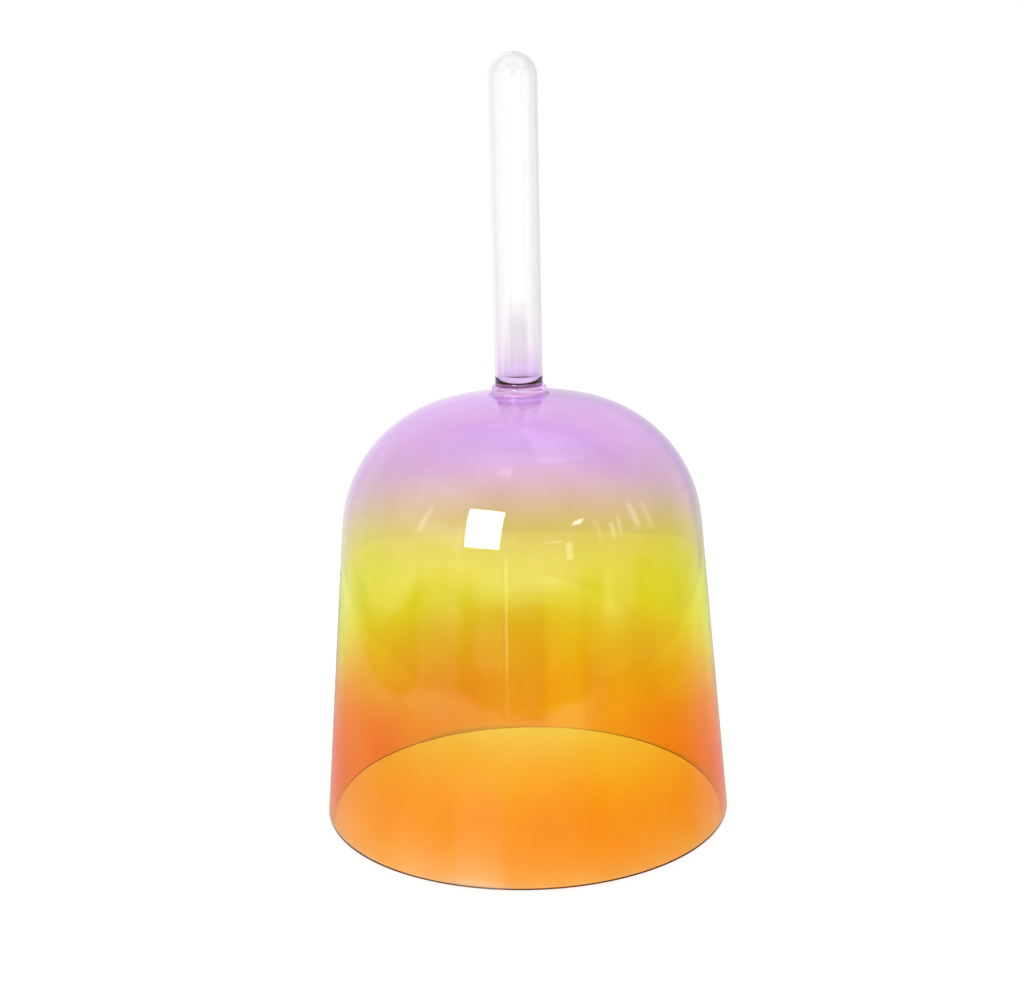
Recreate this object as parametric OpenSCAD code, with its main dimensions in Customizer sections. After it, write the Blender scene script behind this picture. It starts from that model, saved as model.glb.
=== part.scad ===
// Hand bell of blown crystal glass: an open bell with a domed crown, and a closed
// glass tube as its handle, fused to the crown through a collar.
// Millimetres, +Z up. The origin is the centre of the rim, on the surface that it stands on.

/* [Bell] */
// Outside diameter of the rim
rim_d = 203; // [190:1:230]
// Height at which the straight flared side ends and the shoulder begins
side_h = 148.6; // [130:0.1:160]
// Outside radius at the top of the straight side
side_top_r = 88.1; // [84:0.1:92]
// Outside radius of the shoulder's curve
shoulder_r = 66.3; // [55:0.1:75]
// Steepness at which the shoulder's curve meets the crown's curve, in degrees
crown_angle = 75.9; // [68:0.1:80]
// Thickness of the bell's glass
wall = 3.2; // [2.5:0.1:4.5]
// Rounding of the two fire-polished edges of the rim
rim_round = 0.9; // [0.4:0.1:1.1]

/* [Joint] */
// Diameter of the collar between the crown and the handle
collar_d = 26.4; // [25:0.1:30]
// Height of the collar's upper face above the top of the crown
collar_rise = 3.3; // [2.5:0.1:6]
// Rounding of the collar's upper edge
collar_round = 1.1; // [0.4:0.1:1.2]
// How far the weld fillet spreads over the crown, beyond the collar
weld_reach = 1.2; // [1:0.1:4]
// Height of the weld fillet on the collar's side
weld_rise = 1; // [0.6:0.1:2]

/* [Handle] */
// Outside diameter of the handle's tube
handle_d = 23.1; // [20:0.1:24]
// Wall of the handle's tube
handle_wall = 1.4; // [1:0.1:3]
// Height of the handle's straight part, with the disc that closes its foot
handle_h = 144; // [110:1:170]
// Thickness of the disc that closes the handle's foot
foot_disc_h = 1.6; // [1.2:0.1:4]

/* [Hidden] */
$fn = 96;

// Steps along each curve of an outline
shoulder_steps = 24;
crown_steps = 5;
edge_steps = 6;
// Depth by which a shape runs into its neighbour before it is cut back
spare = 5;
// Thickness of the weld fillet's outer edge
weld_edge = 0.2;

// The outline of the bell's outside: a cone, the shoulder's arc tangent to it,
// and the crown's arc, tangent to the shoulder and centred on the axis
rim_r = rim_d / 2;
flare = atan2(rim_r - side_top_r, side_h);
shoulder_x = side_top_r - shoulder_r * cos(flare);
shoulder_z = side_h - shoulder_r * sin(flare);
crown_r = shoulder_r + shoulder_x / cos(crown_angle);
crown_z = shoulder_z - (crown_r - shoulder_r) * sin(crown_angle);
crown_top = crown_z + crown_r;

collar_r = collar_d / 2;
collar_top = crown_top + collar_rise;
weld_r = collar_r + weld_reach;
handle_r = handle_d / 2;
handle_foot = collar_top + foot_disc_h;
handle_straight_top = collar_top + handle_h;

// Points along an arc, from one angle to another
function arc(centre_x, centre_z, radius, from, to, steps) = [
    for (i = [0 : steps])
        let (a = from + (to - from) * i / steps)
        [centre_x + radius * cos(a), centre_z + radius * sin(a)]
];

// The crown's height at a distance from the axis
function crown_height(r) = crown_z + sqrt(crown_r * crown_r - r * r);

// From the top of the side to the axis, at a depth under the outside face
function dome(depth) = concat(
    arc(shoulder_x, shoulder_z, shoulder_r - depth, flare, crown_angle, shoulder_steps),
    [for (p = arc(0, crown_z, crown_r - depth, crown_angle, 90, crown_steps))
        if (p[0] < (crown_r - depth) * cos(crown_angle) - 0.01) [max(0, p[0]), p[1]]]
);

function reversed(points) = [for (i = [len(points) - 1 : -1 : 0]) points[i]];

// The rim's section: a flat foot with a round edge on the inside and the outside
function rim_edge() = let (inner_r = rim_r - wall / cos(flare)) concat(
    arc(inner_r + rim_round, rim_round, rim_round, 180, 270, edge_steps),
    arc(rim_r - rim_round, rim_round, rim_round, 270, 360, edge_steps)
);

// Everything under the crown's outside face, to cut the weld and the collar to it
module crown_cutter() {
    rotate_extrude() polygon(concat([[0, 0], [side_top_r, 0]], dome(0)));
}

// The bell itself, blown in one piece, open at the rim and closed at the crown
module bell_shell() {
    color([0.95, 0.72, 0.35, 0.6])
        rotate_extrude() polygon(concat(rim_edge(), dome(0), reversed(dome(wall))));
}

// Glass run round the collar's foot where it is fused to the crown: steep at the collar,
// thinning outwards until it ends on the crown
module crown_weld() {
    color([0.72, 0.52, 0.85, 0.7]) difference() {
        rotate_extrude() polygon(concat(
            [[collar_r, crown_top - spare], [weld_r, crown_top - spare]],
            [for (i = [edge_steps : -1 : 0])
                let (t = i / edge_steps, r = collar_r + weld_reach * t)
                [r, crown_height(r) + weld_edge + (weld_rise - weld_edge) * pow(1 - t, 2)]]
        ));
        crown_cutter();
    }
}

// The solid ring-shaped bead that joins the handle to the crown
module joint_collar() {
    color([0.62, 0.42, 0.78, 0.8]) difference() {
        rotate_extrude() polygon(concat(
            [[0, crown_top - spare], [collar_r, crown_top - spare]],
            arc(collar_r - collar_round, collar_top - collar_round, collar_round, 0, 90, edge_steps),
            [[0, collar_top]]
        ));
        crown_cutter();
    }
}

// The disc that closes the foot of the handle's tube
module handle_foot_disc() {
    color([0.38, 0.22, 0.40, 0.9])
        translate([0, 0, collar_top]) cylinder(r = handle_r, h = foot_disc_h);
}

// The handle's tube, with its upper end closed to a round dome
module handle_tube() {
    bore_r = handle_r - handle_wall;
    color([0.93, 0.93, 0.95, 0.5]) difference() {
        union() {
            translate([0, 0, handle_foot])
                cylinder(r = handle_r, h = handle_straight_top - handle_foot);
            translate([0, 0, handle_straight_top]) sphere(r = handle_r);
        }
        translate([0, 0, handle_foot - spare])
            cylinder(r = bore_r, h = handle_straight_top - handle_foot + spare);
        translate([0, 0, handle_straight_top]) sphere(r = bore_r);
    }
}

bell_shell();
crown_weld();
joint_collar();
handle_foot_disc();
handle_tube();
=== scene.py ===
"""The looks of the glass bell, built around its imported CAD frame.

Metres, +Z up. Every piece is turned about the Z axis, and every tint follows the height.
The world is plain white, apart from what the glass mirrors: that is a studio with a table's
edge, a dark gap behind it, bright walls and a few lamps.
"""
import math

import bpy
from mathutils import Matrix, Vector


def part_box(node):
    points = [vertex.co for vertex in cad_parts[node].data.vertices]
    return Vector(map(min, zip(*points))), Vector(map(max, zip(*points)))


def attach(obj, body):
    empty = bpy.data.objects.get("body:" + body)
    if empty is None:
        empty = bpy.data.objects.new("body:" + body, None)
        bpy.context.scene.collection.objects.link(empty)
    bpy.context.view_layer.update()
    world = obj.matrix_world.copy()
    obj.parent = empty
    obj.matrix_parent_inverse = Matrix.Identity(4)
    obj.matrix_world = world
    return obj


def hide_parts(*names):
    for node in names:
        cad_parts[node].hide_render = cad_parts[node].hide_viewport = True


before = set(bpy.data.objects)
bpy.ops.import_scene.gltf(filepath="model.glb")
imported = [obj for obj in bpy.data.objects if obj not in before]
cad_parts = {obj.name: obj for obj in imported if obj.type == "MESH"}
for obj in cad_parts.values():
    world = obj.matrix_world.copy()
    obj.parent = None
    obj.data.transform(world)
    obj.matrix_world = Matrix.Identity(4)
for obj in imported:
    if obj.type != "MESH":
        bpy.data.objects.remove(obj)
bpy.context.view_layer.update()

MM = 0.001
QUARTER_TURN = math.pi / 2

# ---------------------------------------------------------------- sizes

# The outline of the bell, as in the CAD part
SIDE_H = 148.6 * MM
SIDE_TOP_R = 88.1 * MM
SHOULDER_R = 66.3 * MM
CROWN_ANGLE = math.radians(75.9)
WALL = 3.2 * MM
RIM_ROUND = 0.9 * MM
COLLAR_ROUND = 1.1 * MM
WELD_RISE = 1.0 * MM
HANDLE_WALL = 1.4 * MM

# Edges that only the looks need
WELD_EDGE = 0.04 * MM
DISC_BEVEL = 0.25 * MM
EDGE_SUPPORT = 0.15 * MM
# Air between two pieces that the real bell has fused together
GAP = 0.02 * MM

# How finely each stretch of an outline is divided
SHOULDER_STEPS = 48
CROWN_STEPS = 28
SIDE_STEPS = 44
RIM_STEPS = 8
RIM_FLAT_STEPS = 3
COLLAR_FOOT_STEPS = 12
COLLAR_SIDE_STEPS = 4
COLLAR_EDGE_STEPS = 10
WELD_STEPS = 12
BEVEL_STEPS = 5
TUBE_END_STEPS = 32
TUBE_SIDE_STEPS = 40
# Faces round each piece
BELL_TURNS = 288
SMALL_TURNS = 160

rim_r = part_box("bell_shell")[1][0]
weld_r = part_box("crown_weld")[1][0]
collar_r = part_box("joint_collar")[1][0]
collar_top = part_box("joint_collar")[1][2]
handle_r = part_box("handle_foot_disc")[1][0]
disc_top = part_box("handle_foot_disc")[1][2]
handle_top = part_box("handle_tube")[1][2]

flare = math.atan2(rim_r - SIDE_TOP_R, SIDE_H)
shoulder_x = SIDE_TOP_R - SHOULDER_R * math.cos(flare)
shoulder_z = SIDE_H - SHOULDER_R * math.sin(flare)
crown_r = SHOULDER_R + shoulder_x / math.cos(CROWN_ANGLE)
crown_z = shoulder_z - (crown_r - SHOULDER_R) * math.sin(CROWN_ANGLE)

# ---------------------------------------------------------------- outlines, as (radius, height)


def arc(centre, radius, start, end, steps):
    """Points along an arc, from one angle to another."""
    angles = [start + (end - start) * i / steps for i in range(steps + 1)]
    return [(centre[0] + radius * math.cos(a), centre[1] + radius * math.sin(a)) for a in angles]


def between(start, end, steps):
    """The points that divide a straight line, without its two ends."""
    return [tuple(s + (e - s) * i / steps for s, e in zip(start, end)) for i in range(1, steps)]


def to_axis(points):
    """The same points, with the last one put exactly on the axis."""
    return points[:-1] + [(0.0, points[-1][1])]


def crown_height(r):
    """The height of the crown's outside face at a distance from the axis."""
    return crown_z + math.sqrt(crown_r ** 2 - r ** 2)


def dome(depth):
    """From the top of the side to the axis, at a depth under the outside face."""
    shoulder = arc((shoulder_x, shoulder_z), SHOULDER_R - depth, flare, CROWN_ANGLE, SHOULDER_STEPS)
    crown = arc((0, crown_z), crown_r - depth, CROWN_ANGLE, QUARTER_TURN, CROWN_STEPS)
    return shoulder + to_axis(crown[1:])


def shell_outlines():
    """Down the inside from the crown to the rim's flat, and from there up the outside."""
    inner_r = rim_r - WALL / math.cos(flare)
    inner_edge = arc((inner_r + RIM_ROUND, RIM_ROUND), RIM_ROUND, math.pi, 3 * QUARTER_TURN, RIM_STEPS)
    outer_edge = arc((rim_r - RIM_ROUND, RIM_ROUND), RIM_ROUND, -QUARTER_TURN, 0, RIM_STEPS)
    under_crown = dome(WALL)[::-1]
    over_crown = dome(0)
    inside = under_crown + between(under_crown[-1], inner_edge[0], SIDE_STEPS) + inner_edge
    flat = between(inner_edge[-1], outer_edge[0], RIM_FLAT_STEPS)
    outside = outer_edge + between(outer_edge[-1], over_crown[0], SIDE_STEPS) + over_crown
    return inside, flat + outside


def collar_outline():
    """A round-edged disc whose underside follows the crown."""
    radii = [collar_r * i / COLLAR_FOOT_STEPS for i in range(COLLAR_FOOT_STEPS + 1)]
    foot = [(r, crown_height(r) + GAP) for r in radii]
    edge_centre = (collar_r - COLLAR_ROUND, collar_top - COLLAR_ROUND)
    edge = arc(edge_centre, COLLAR_ROUND, 0, QUARTER_TURN, COLLAR_EDGE_STEPS)
    top = [(handle_r, collar_top), (handle_r / 2, collar_top), (0.0, collar_top)]
    return foot + between(foot[-1], edge[0], COLLAR_SIDE_STEPS) + edge + top


def weld_outline():
    """A fillet on the crown, steep at the collar and thinning outwards."""
    inner_r = collar_r + GAP
    bottom, top = [], []
    for i in range(WELD_STEPS + 1):
        t = i / WELD_STEPS
        r = inner_r + (weld_r - inner_r) * t
        bottom.append((r, crown_height(r) + GAP))
        top.append((r, crown_height(r) + GAP + WELD_EDGE + (WELD_RISE - WELD_EDGE) * (1 - t) ** 2))
    return bottom + top[::-1]


def disc_outline():
    """A flat disc with two small bevels."""
    low, high = collar_top + GAP, disc_top - GAP
    bevel_r = handle_r - DISC_BEVEL
    support_r = bevel_r - EDGE_SUPPORT
    lower = arc((bevel_r, low + DISC_BEVEL), DISC_BEVEL, -QUARTER_TURN, 0, BEVEL_STEPS)
    upper = arc((bevel_r, high - DISC_BEVEL), DISC_BEVEL, 0, QUARTER_TURN, BEVEL_STEPS)
    return [(0.0, low), (support_r, low)] + lower + upper + [(support_r, high), (0.0, high)]


def tube_outline():
    """From the inside of the closed end, down and under the foot, and up the outside."""
    centre = (0, handle_top - handle_r)
    bore_r = handle_r - HANDLE_WALL
    inside = to_axis(arc(centre, bore_r, 0, QUARTER_TURN, TUBE_END_STEPS))[::-1]
    outside = to_axis(arc(centre, handle_r, 0, QUARTER_TURN, TUBE_END_STEPS))
    foot = [(bore_r, disc_top), (handle_r, disc_top)]
    bore = between(inside[-1], foot[0], TUBE_SIDE_STEPS)
    side = between(foot[1], outside[0], TUBE_SIDE_STEPS)
    return inside + bore + foot + side + outside


# ---------------------------------------------------------------- meshes

# How far the blown wall wanders inwards, and the waves that it wanders in:
# (times round the bell, waves per metre of height, phase, share)
BLOWN_DEPTH = 0.05 * MM
BLOWN_WAVES = [(5, 9.0, 0.4, 0.35), (-8, 15.0, 2.1, 0.25), (11, -12.0, 4.0, 0.2), (3, 21.0, 5.2, 0.2)]
# How much a wave's phase changes in each metre outwards
BLOWN_SPREAD = 30


def blown_wave(angle, r, z):
    """The inward change of radius that leaves the blown bell slightly uneven."""
    wave = sum(
        share * math.sin(turns * angle + 2 * math.pi * pitch * z + phase + BLOWN_SPREAD * r)
        for turns, pitch, phase, share in BLOWN_WAVES
    )
    fade = min(1.0, r / SHOULDER_R)
    return -BLOWN_DEPTH * fade * (1 + wave) / 2


def turned_rings(outline, turns, wave):
    """The vertices of a turned shape, and the numbers of those in each of its rings."""
    vertices, rings = [], []
    for r, z in outline:
        if r == 0.0:
            rings.append([len(vertices)])
            vertices.append((0.0, 0.0, z))
            continue
        rings.append(range(len(vertices), len(vertices) + turns))
        for i in range(turns):
            angle = 2 * math.pi * i / turns
            radius = r + wave(angle, r, z) if wave else r
            vertices.append((radius * math.cos(angle), radius * math.sin(angle), z))
    return vertices, rings


def joined(low, high, turns):
    """The faces between two rings. A ring on the axis has a single vertex."""
    faces = []
    for i in range(turns):
        j = (i + 1) % turns
        if len(low) == 1:
            faces.append((low[0], high[j], high[i]))
        elif len(high) == 1:
            faces.append((low[i], low[j], high[0]))
        else:
            faces.append((low[i], low[j], high[j], high[i]))
    return faces


def lathe(name, outline, turns=SMALL_TURNS, wave=None, bare=0):
    """A closed solid turned from an outline that ends on the axis, or that closes on itself.

    Its "coating" attribute is the share of the tint on each face: a half on both sides of a
    wall, or none on the first points of the outline, which are bare, and all of it on the rest.
    """
    vertices, rings = turned_rings(outline, turns, wave)
    pairs = list(zip(rings, rings[1:]))
    if outline[0][0] > 0:
        pairs.append((rings[-1], rings[0]))
    faces = [face for low, high in pairs for face in joined(low, high, turns)]
    mesh = bpy.data.meshes.new(name)
    mesh.from_pydata(vertices, [], faces)
    mesh.shade_smooth()
    coating = mesh.attributes.new("coating", "FLOAT", "POINT")
    for i, ring in enumerate(rings):
        for vertex in ring:
            coating.data[vertex].value = float(i >= bare) if bare else 0.5
    piece = bpy.data.objects.new(name, mesh)
    bpy.context.scene.collection.objects.link(piece)
    return piece


# ---------------------------------------------------------------- materials

# The colour that one wall of glass lets through, by height in millimetres: purple at the crown,
# yellow round the middle, orange at the rim
BELL_TINT = [
    (0, (0.70, 0.45, 0.24)), (1.2, (0.92, 0.49, 0.15)), (4, (0.95, 0.44, 0.075)),
    (14, (0.95, 0.38, 0.027)), (30, (0.94, 0.33, 0.010)), (44, (0.94, 0.375, 0.010)),
    (58, (0.93, 0.46, 0.018)), (70, (0.91, 0.535, 0.035)), (84, (0.88, 0.76, 0.05)),
    (104, (0.825, 0.865, 0.040)), (122, (0.795, 0.81, 0.05)), (136, (0.825, 0.785, 0.25)),
    (150, (0.83, 0.735, 0.59)), (162, (0.79, 0.65, 0.79)), (178, (0.795, 0.60, 0.89)),
    (212, (0.86, 0.62, 0.96)),
]
# Clear glass with a faint grey, which is painted shade for the grey that the handle shows by mirroring the
# room. Plum at its very foot, partly the joint's colour and partly painted shade for the dark band where
# the tube stands on the disc, and purple fading up from there
HANDLE_TINT_AND_PAINTED_SHADE = [
    (216.6, (0.66, 0.46, 0.70)), (217.4, (0.80, 0.64, 0.91)), (221, (0.86, 0.73, 0.925)),
    (226.5, (0.91, 0.81, 0.94)), (231, (0.92, 0.86, 0.92)), (238, (0.93, 0.89, 0.93)),
    (252, (0.935, 0.92, 0.933)), (275, (0.93, 0.93, 0.928)), (371, (0.932, 0.932, 0.932)),
]
JOINT_TINT = [(210, (0.74, 0.50, 0.86)), (213, (0.78, 0.54, 0.90)), (215, (0.84, 0.64, 0.93))]
# The foot disc: plum glass, made far darker than the joint and darkest at its foot. This is partly its own
# colour and partly painted shade for the dark band and dark line that the joint shows there
PLUM_AND_PAINTED_SHADE_TINT = [(215, (0.14, 0.05, 0.16)), (215.4, (0.28, 0.12, 0.29)), (216.6, (0.44, 0.23, 0.45))]

# Refraction of fused quartz
GLASS_IOR = 1.458
# Each kind of unevenness is noise with so many lumps per metre along X, Y and Z
WANDER_LUMPS = (9, 9, 5)
COATING_LUMPS = (30, 30, 22)
MARK_LUMPS = (38, 38, 26)
LINE_LUMPS = (4, 4, 260)
# Handling marks: the roughness of the marked places, and how far below zero the clean ones go
MARK_ROUGHNESS = 0.035
MARK_REST = -0.03
# Faint lines that turning the hot glass has left
LINE_STRENGTH = 0.25
LINE_DEPTH = 0.01 * MM
# Where the values of the noise mostly lie
NOISE_LOW, NOISE_HIGH = 0.3, 0.7


class Tree:
    """A node tree with the few steps that the looks are made of."""

    def __init__(self, owner):
        owner.use_nodes = True
        self.nodes, self.links = owner.node_tree.nodes, owner.node_tree.links

    def put(self, place, value):
        """Links an input to another node's output, or sets it to a plain value."""
        if isinstance(value, bpy.types.NodeSocket):
            self.links.new(value, place)
        else:
            place.default_value = value

    def add(self, kind, **inputs):
        """A new node with some of its inputs given."""
        node = self.nodes.new(kind)
        for name, value in inputs.items():
            self.put(node.inputs[name.replace("_", " ")], value)
        return node

    def math(self, operation, *values):
        """The result of one step of arithmetic."""
        node = self.nodes.new("ShaderNodeMath")
        node.operation = operation
        for place, value in zip(node.inputs, values):
            self.put(place, value)
        return node.outputs[0]

    def noise(self, place, lumps, detail=2.0, low=0.0, high=1.0):
        """Noise with so many lumps per unit along X, Y and Z, spread from low to high."""
        scaled = self.nodes.new("ShaderNodeVectorMath")
        scaled.operation = "MULTIPLY"
        self.put(scaled.inputs[0], place)
        self.put(scaled.inputs[1], lumps)
        noise = self.add("ShaderNodeTexNoise", Vector=scaled.outputs[0], Scale=1.0, Detail=detail)
        limits = {"From_Min": NOISE_LOW, "From_Max": NOISE_HIGH, "To_Min": low, "To_Max": high}
        return self.add("ShaderNodeMapRange", Value=noise.outputs[0], **limits).outputs[0]

    def ramp(self, amount, low, high, stops):
        """A smooth run of colours from low to high, by (amount, colour) stops."""
        along = self.add("ShaderNodeMapRange", Value=amount, From_Min=low, From_Max=high)
        ramp = self.add("ShaderNodeValToRGB", Fac=along.outputs[0])
        ramp.color_ramp.interpolation = "B_SPLINE"
        while len(ramp.color_ramp.elements) < len(stops):
            ramp.color_ramp.elements.new(0.5)
        for element, (stop, colour) in zip(ramp.color_ramp.elements, stops):
            element.position = (stop - low) / (high - low)
            element.color = (*colour, 1)
        return ramp.outputs[0]


def coated_colour(tree, place, tint, drift, density):
    """The tint by height, wandering up and down by the drift, under a coating of uneven density."""
    height = tree.add("ShaderNodeSeparateXYZ", Vector=place).outputs["Z"]
    wander = tree.noise(place, WANDER_LUMPS, detail=1, low=-drift, high=drift)
    stops = [(stop * MM, colour) for stop, colour in tint]
    colour = tree.ramp(tree.math("ADD", height, wander), stops[0][0], stops[-1][0], stops)
    # A wall has about two coats in all, and the attribute is the share of them on this face
    coats = tree.noise(place, COATING_LUMPS, detail=3, low=2 - 2 * density, high=2 + 2 * density)
    share = tree.nodes.new("ShaderNodeAttribute")
    share.attribute_name = "coating"
    amount = tree.math("MULTIPLY", coats, share.outputs["Fac"])
    return tree.add("ShaderNodeGamma", Color=colour, Gamma=amount).outputs[0]


def glass(name, tint, drift, density):
    """Polished glass under a thin coating, with faint turning lines and handling marks."""
    material = bpy.data.materials.new(name)
    tree = Tree(material)
    shader = tree.nodes["Principled BSDF"]
    shader.inputs["Transmission Weight"].default_value = 1.0
    shader.inputs["IOR"].default_value = GLASS_IOR
    place = tree.nodes.new("ShaderNodeTexCoord").outputs["Object"]
    tree.put(shader.inputs["Base Color"], coated_colour(tree, place, tint, drift, density))
    marks = tree.noise(place, MARK_LUMPS, detail=3, low=MARK_REST, high=MARK_ROUGHNESS)
    tree.put(shader.inputs["Roughness"], tree.math("MAXIMUM", marks, 0.0))
    lines = tree.noise(place, LINE_LUMPS, detail=0)
    bump = tree.add("ShaderNodeBump", Height=lines, Strength=LINE_STRENGTH, Distance=LINE_DEPTH)
    tree.put(shader.inputs["Normal"], bump.outputs[0])
    return material


# The glass of each of the record's material slots
glasses = {
    "tinted_glass": glass("tinted", BELL_TINT, drift=3.0 * MM, density=0.09),
    "joint_glass": glass("joint", JOINT_TINT, drift=0.3 * MM, density=0.10),
    # The disc's tint is partly painted shade for the joint's dark band
    "plum_glass": glass("plum", PLUM_AND_PAINTED_SHADE_TINT, drift=0.1 * MM, density=0.15),
    # The handle's grey and its plum foot are partly painted shade
    "clear_glass": glass("clear", HANDLE_TINT_AND_PAINTED_SHADE, drift=1.0 * MM, density=0.10),
}

# ---------------------------------------------------------------- the bell


def finish_piece(piece, node, slot):
    """Gives a piece its body and its slot's glass, and hides the CAD node that it stands for."""
    piece.data.materials.append(glasses[slot])
    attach(piece, "root")
    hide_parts(node)


inside, outside = shell_outlines()
bell = lathe("bell_glass", inside + outside, BELL_TURNS, blown_wave, bare=len(inside))
finish_piece(bell, "bell_shell", "tinted_glass")
finish_piece(lathe("weld_glass", weld_outline()), "crown_weld", "joint_glass")
finish_piece(lathe("collar_glass", collar_outline()), "joint_collar", "joint_glass")
finish_piece(lathe("foot_disc_glass", disc_outline()), "handle_foot_disc", "plum_glass")
finish_piece(lathe("handle_glass", tube_outline()), "handle_tube", "clear_glass")

# ---------------------------------------------------------------- floor

FLOOR_R = 0.55
FLOOR_DROP = 0.3 * MM
FLOOR_SIDES = 96
FLOOR_GREY = 0.35
FLOOR_GLOW = 0.74


def white_floor():
    """A white table top: it gives some light of its own, so that it stays clear of grey."""
    mesh = bpy.data.meshes.new("floor")
    corners = [2 * math.pi * i / FLOOR_SIDES for i in range(FLOOR_SIDES)]
    rim = [(FLOOR_R * math.cos(a), FLOOR_R * math.sin(a), -FLOOR_DROP) for a in corners]
    mesh.from_pydata(rim, [], [range(FLOOR_SIDES)])
    floor = bpy.data.objects.new("floor", mesh)
    bpy.context.scene.collection.objects.link(floor)
    floor.visible_glossy = False
    paper = bpy.data.materials.new("paper")
    paper.use_nodes = True
    shader = paper.node_tree.nodes["Principled BSDF"]
    shader.inputs["Base Color"].default_value = (FLOOR_GREY, FLOOR_GREY, FLOOR_GREY, 1)
    shader.inputs["Roughness"].default_value = 1.0
    shader.inputs["Specular IOR Level"].default_value = 0.0
    shader.inputs["Emission Color"].default_value = (1, 1, 1, 1)
    shader.inputs["Emission Strength"].default_value = FLOOR_GLOW
    mesh.materials.append(paper)


white_floor()

# ---------------------------------------------------------------- studio

# Brightness of the plain white world
WHITE = 1.02

# What the glass mirrors, by direction in degrees. Azimuth 0 is towards the camera (-Y) and
# grows towards +X, and elevation 0 is level.
# The table's edge and the foot of the bright wall, which both dip towards the sides
LINES_MIDDLE = 8
EDGE = {"middle": -10.7, "dip": 2.5, "dip_at": 80, "dip_soft": 64}
FOOT = {"middle": -6.6, "dip": 4.6, "dip_at": 86, "dip_soft": 60}
EDGE_SOFT, FOOT_SOFT = 0.5, 1.4
# Limits that leave nothing out
ALL = (-400, 400)
# (azimuths, elevations, softness of each, brightness, lean): the lean is in degrees of azimuth
# for each degree of elevation above the middle of the patch
TABLE = [
    (ALL, ALL, (1, 1), 0.45),
    ((-400, -95), ALL, (30, 1), 0.15),
    ((-95, 40), (-12.1, 0), (30, 1.4), 0.65),
    ((-100, -45), (-14.5, 0), (20, 2), 0.30),
    ((-40, -14), (-90, -13), (8, 2), 0.45),
    ((-40, -14), (-90, -16), (6, 2.5), 0.80),
    ((-75, -14), (-90, -16.8), (20, 2.5), 1.2),
    ((28, 110), ALL, (30, 1), -0.36),
]
DARK_GAP = [
    (ALL, ALL, (1, 1), 0.28),
    ((-66, -40), ALL, (6, 1), 0.35),
    ((-29, -12), (-9.4, -7.2), (7, 0.8), 0.40),
    ((10, 24), (-9.4, -7.6), (7, 0.8), 0.15),
    ((8, 38), ALL, (8, 1), -0.25),
    ((-62, -38), (-8.2, 0), (10, 2), 0.65),
    ((50, 72), (-8.8, 0), (10, 2), 0.80),
    ((-11.2, -9.6), (-9.2, 0), (0.8, 1.0), 1.7),
    ((-11.2, -9.6), (-10.8, -9.2), (0.8, 0.8), 0.6),
    ((49, 56), (-8.4, 0), (5, 0.8), 0.5),
]
ROOM = [
    (ALL, ALL, (1, 1), 0.57),
    ((-181, -105), ALL, (30, 1), 0.33),
    ((125, 181), ALL, (30, 1), 0.25),
    ((-108, 74), ALL, (36, 1), 0.78),
    ((-86, 30), (-90, 20), (24, 16), 0.90),
    ((-88, -36), (14, 50), (20, 14), 0.75),
    ((-70, -40), (7, 22), (10, 6), 0.50),
    ((-3, 24), (6, 26), (6, 8), -0.40),
    ((-60, -36), (-7.8, -4.8), (8, 1), 0.30),
    ((-100, -80), (-7, 12), (14, 6), 0.35),
    ((-118, -72), (34, 64), (20, 12), -0.35),
    ((98, 140), (4, 46), (20, 10), -0.28),
    (ALL, (60, 100), (1, 26), 0.50),
    ((60, 100), (38, 70), (20, 16), 0.45),
    ((-43.5, -38), (3, 27), (2, 4), 0.8),
]
# The reflections of single lamps
LAMPS = [
    ((-36, -14), (67, 76), (10, 6), 1.4),
    ((34.6, 41.2), (23.6, 26.7), (1.0, 1.0), 9.0, 1.05),
    ((13, 25), (11.4, 13.2), (1, 0.8), 1.8),
    ((27, 31), (-2.5, 11), (1.5, 1.5), 2.6),
    ((-69.8, -66.4), (12, 30), (1.6, 5), 1.8, 0.1),
    ((-11.2, -9.6), (-12, 4), (0.8, 12), 1.5),
    ((48.8, 51.2), (6, 24), (1.4, 8), 1.2),
    ((58.6, 61.2), (8, 19), (1.4, 5), 2.8, 0.08),
    ((64.3, 66.6), (8, 21), (1.4, 5), 2.4, 0.16),
    ((76.8, 80.6), (9, 26), (1.8, 7), 2.4),
    ((87.6, 90.4), (5, 22), (1.4, 6), 1.6),
]
# Past this azimuth there are no lines, only these patches
BEHIND_FROM, BEHIND_SOFT = 120, 40
BEHIND = [
    (ALL, ALL, (1, 1), 0.52),
    ((-400, 0), (-14.3, 100), (1, 3), 0.47),
    ((0, 400), (-13.8, 100), (1, 3), 0.30),
    (ALL, (68, 100), (1, 20), 0.35),
]
# Upright unevenness of the room, as lumps per degree of azimuth and of elevation
ROOM_LUMPS = (0.16, 0.02)
ROOM_UNEVEN = 0.10
# The same for the two lines, and how far they wander up and down
EDGE_LUMPS = 0.07
EDGE_WANDER = 0.14


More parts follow.
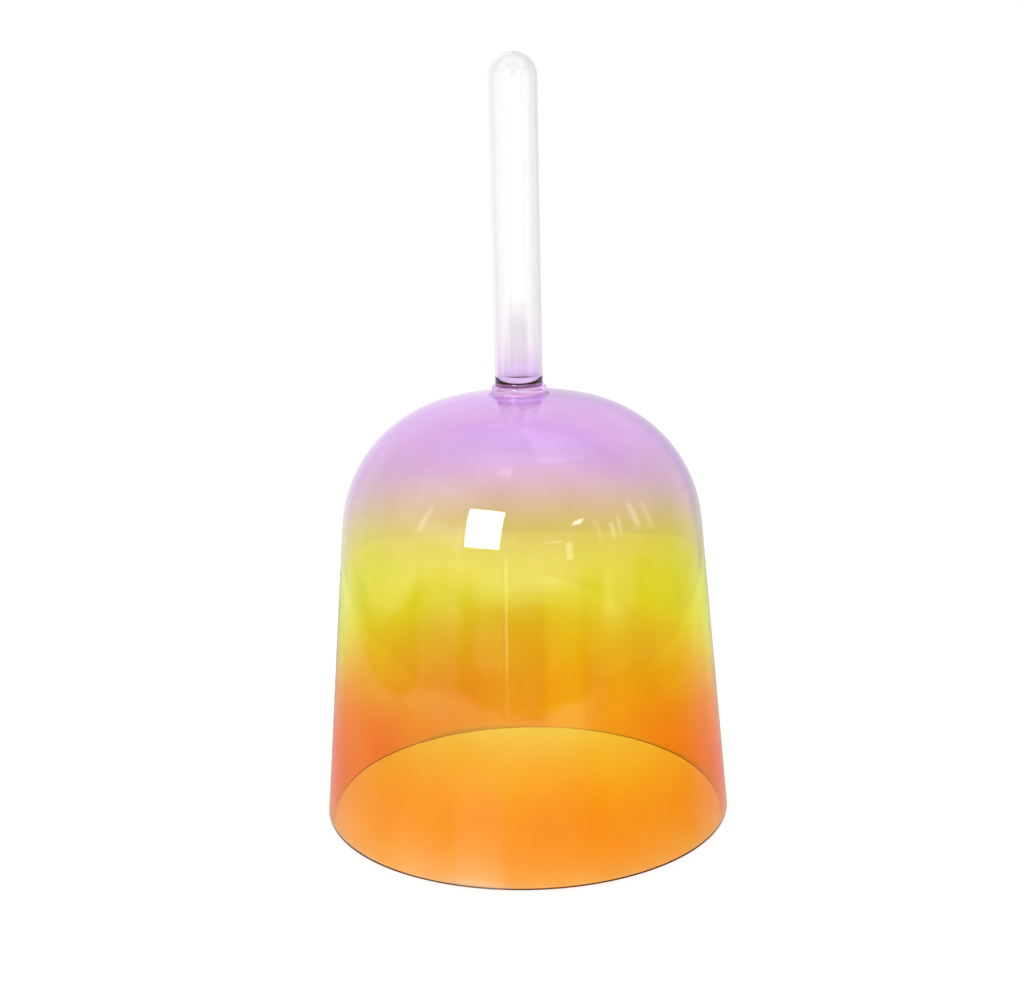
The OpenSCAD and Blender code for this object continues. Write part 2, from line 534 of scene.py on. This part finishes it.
class Studio(Tree):
    """The world's node tree, with brightness by direction."""

    def __init__(self, world):
        super().__init__(world)
        direction = self.nodes.new("ShaderNodeTexCoord").outputs["Generated"]
        split = self.add("ShaderNodeSeparateXYZ", Vector=direction)
        towards = self.math("MULTIPLY", split.outputs["Y"], -1.0)
        self.azimuth = self.math("DEGREES", self.math("ARCTAN2", split.outputs["X"], towards))
        self.elevation = self.math("DEGREES", self.math("ARCSINE", split.outputs["Z"]))
        self.view = self.add("ShaderNodeCombineXYZ", X=self.azimuth, Y=self.elevation).outputs[0]

    def step(self, value, edge, soft):
        """0 below the edge and 1 above it, changing over a soft width."""
        limits = {"From_Min": edge - soft / 2, "From_Max": edge + soft / 2}
        node = self.add("ShaderNodeMapRange", Value=value, **limits)
        node.interpolation_type = "SMOOTHSTEP"
        return node.outputs[0]

    def band(self, value, limits, soft):
        """1 between the limits and 0 outside them."""
        if limits == ALL:
            return 1.0
        return self.math("SUBTRACT", self.step(value, limits[0], soft), self.step(value, limits[1], soft))

    def patches(self, rows):
        """The sum of the patches in one of the tables."""
        total = 0.0
        for azimuths, elevations, soft, brightness, *lean in rows:
            across = self.azimuth
            if lean:
                above = self.math("SUBTRACT", self.elevation, sum(elevations) / 2)
                across = self.math("SUBTRACT", self.azimuth, self.math("MULTIPLY", above, lean[0]))
            width = self.band(across, azimuths, soft[0])
            height = self.band(self.elevation, elevations, soft[1])
            total = self.math("MULTIPLY_ADD", self.math("MULTIPLY", width, height), brightness, total)
        return total

    def over(self, line, soft):
        """0 below one of the two lines across the room and 1 above it."""
        aside = self.math("ABSOLUTE", self.math("SUBTRACT", self.azimuth, LINES_MIDDLE))
        dipped = self.step(aside, line["dip_at"], line["dip_soft"])
        wander = self.noise(self.view, (EDGE_LUMPS, 0, 0), detail=1, low=-EDGE_WANDER, high=EDGE_WANDER)
        level = self.math("MULTIPLY_ADD", dipped, -line["dip"], self.math("ADD", wander, line["middle"]))
        return self.step(self.math("SUBTRACT", self.elevation, level), 0.0, soft)

    def mix(self, amount, first, second):
        """The first value where the amount is 0, and the second where it is 1."""
        return self.math("MULTIPLY_ADD", amount, self.math("SUBTRACT", second, first), first)

    def brightness(self):
        """The whole studio, from the table up to the ceiling and round to the back."""
        spread = {"low": 1 - ROOM_UNEVEN, "high": 1 + ROOM_UNEVEN}
        uneven = self.noise(self.view, (*ROOM_LUMPS, 1), detail=4, **spread)
        room = self.math("MULTIPLY", self.patches(ROOM + LAMPS), uneven)
        wall = self.mix(self.over(FOOT, FOOT_SOFT), self.patches(DARK_GAP), room)
        front = self.mix(self.over(EDGE, EDGE_SOFT), self.patches(TABLE), wall)
        behind = self.step(self.math("ABSOLUTE", self.azimuth), BEHIND_FROM, BEHIND_SOFT)
        return self.mix(behind, front, self.patches(BEHIND))


def build_world():
    """The studio for light that the glass has mirrored, and plain white for the rest."""
    world = bpy.data.worlds.new("studio")
    bpy.context.scene.world = world
    studio = Studio(world)
    path = studio.nodes.new("ShaderNodeLightPath")
    mirrored = studio.math("GREATER_THAN", path.outputs["Glossy Depth"], 0.5)
    plain = studio.nodes["Background"]
    plain.inputs["Color"].default_value = (1, 1, 1, 1)
    plain.inputs["Strength"].default_value = WHITE
    seen = studio.add("ShaderNodeBackground", Color=(1, 1, 1, 1), Strength=studio.brightness())
    either = studio.nodes.new("ShaderNodeMixShader")
    for place, value in zip(either.inputs, (mirrored, plain.outputs[0], seen.outputs[0])):
        studio.put(place, value)
    studio.put(studio.nodes["World Output"].inputs["Surface"], either.outputs[0])
    # Every surface here mirrors, refracts or glows, so the world needs no sampling as a lamp
    world.cycles.sampling_method = "NONE"


build_world()

# ---------------------------------------------------------------- softbox

SOFTBOX_SIZE = (0.60, 0.82)
SOFTBOX_PLACE = Vector((-0.602, -1.331, 0.750))
SOFTBOX_AIM = Vector((0, 0, 0.164))
SOFTBOX_WATTS = 40


def add_softbox():
    """The lamp that shows as a bright square on the shoulder. Only mirrors see it."""
    light = bpy.data.lights.new("softbox", "AREA")
    light.shape = "RECTANGLE"
    light.size, light.size_y = SOFTBOX_SIZE
    light.energy = SOFTBOX_WATTS
    softbox = bpy.data.objects.new("softbox", light)
    softbox.location = SOFTBOX_PLACE
    softbox.rotation_euler = (SOFTBOX_AIM - SOFTBOX_PLACE).to_track_quat("-Z", "Y").to_euler()
    softbox.visible_diffuse = False
    softbox.visible_camera = False
    softbox.visible_transmission = False
    bpy.context.scene.collection.objects.link(softbox)


add_softbox()

# ---------------------------------------------------------------- camera and render settings

CAMERA_PLACE = Vector((0, -0.7612, 0.3383))
CAMERA_PITCH = math.radians(13.134)
CAMERA_YAW = math.radians(-0.345)
CAMERA_ROLL = math.radians(1.294)
CAMERA_LENS = 55.95
CAMERA_SENSOR = 36

# Light crosses several walls, each with two faces, and glances along inside them
GLASS_BOUNCES = 24
MIRROR_BOUNCES = 12


def add_camera():
    """The camera of the main view: it looks down at the bell, and is tilted a little."""
    camera = bpy.data.cameras.new("camera")
    camera.sensor_width = CAMERA_SENSOR
    camera.lens = CAMERA_LENS
    viewer = bpy.data.objects.new("camera", camera)
    bpy.context.scene.collection.objects.link(viewer)
    bpy.context.scene.camera = viewer
    level = math.cos(CAMERA_PITCH)
    forward = Vector((math.sin(CAMERA_YAW) * level, math.cos(CAMERA_YAW) * level, -math.sin(CAMERA_PITCH)))
    right = forward.cross(Vector((0, 0, 1))).normalized()
    up = right.cross(forward)
    roll = Matrix.Rotation(CAMERA_ROLL, 3, forward)
    axes = Matrix((roll @ right, roll @ up, -forward)).transposed()
    viewer.matrix_world = Matrix.Translation(CAMERA_PLACE) @ axes.to_4x4()


add_camera()

scene = bpy.context.scene
scene.view_settings.view_transform = "Standard"
scene.cycles.max_bounces = GLASS_BOUNCES
scene.cycles.transmission_bounces = GLASS_BOUNCES
scene.cycles.glossy_bounces = MIRROR_BOUNCES
scene.cycles.use_denoising = True
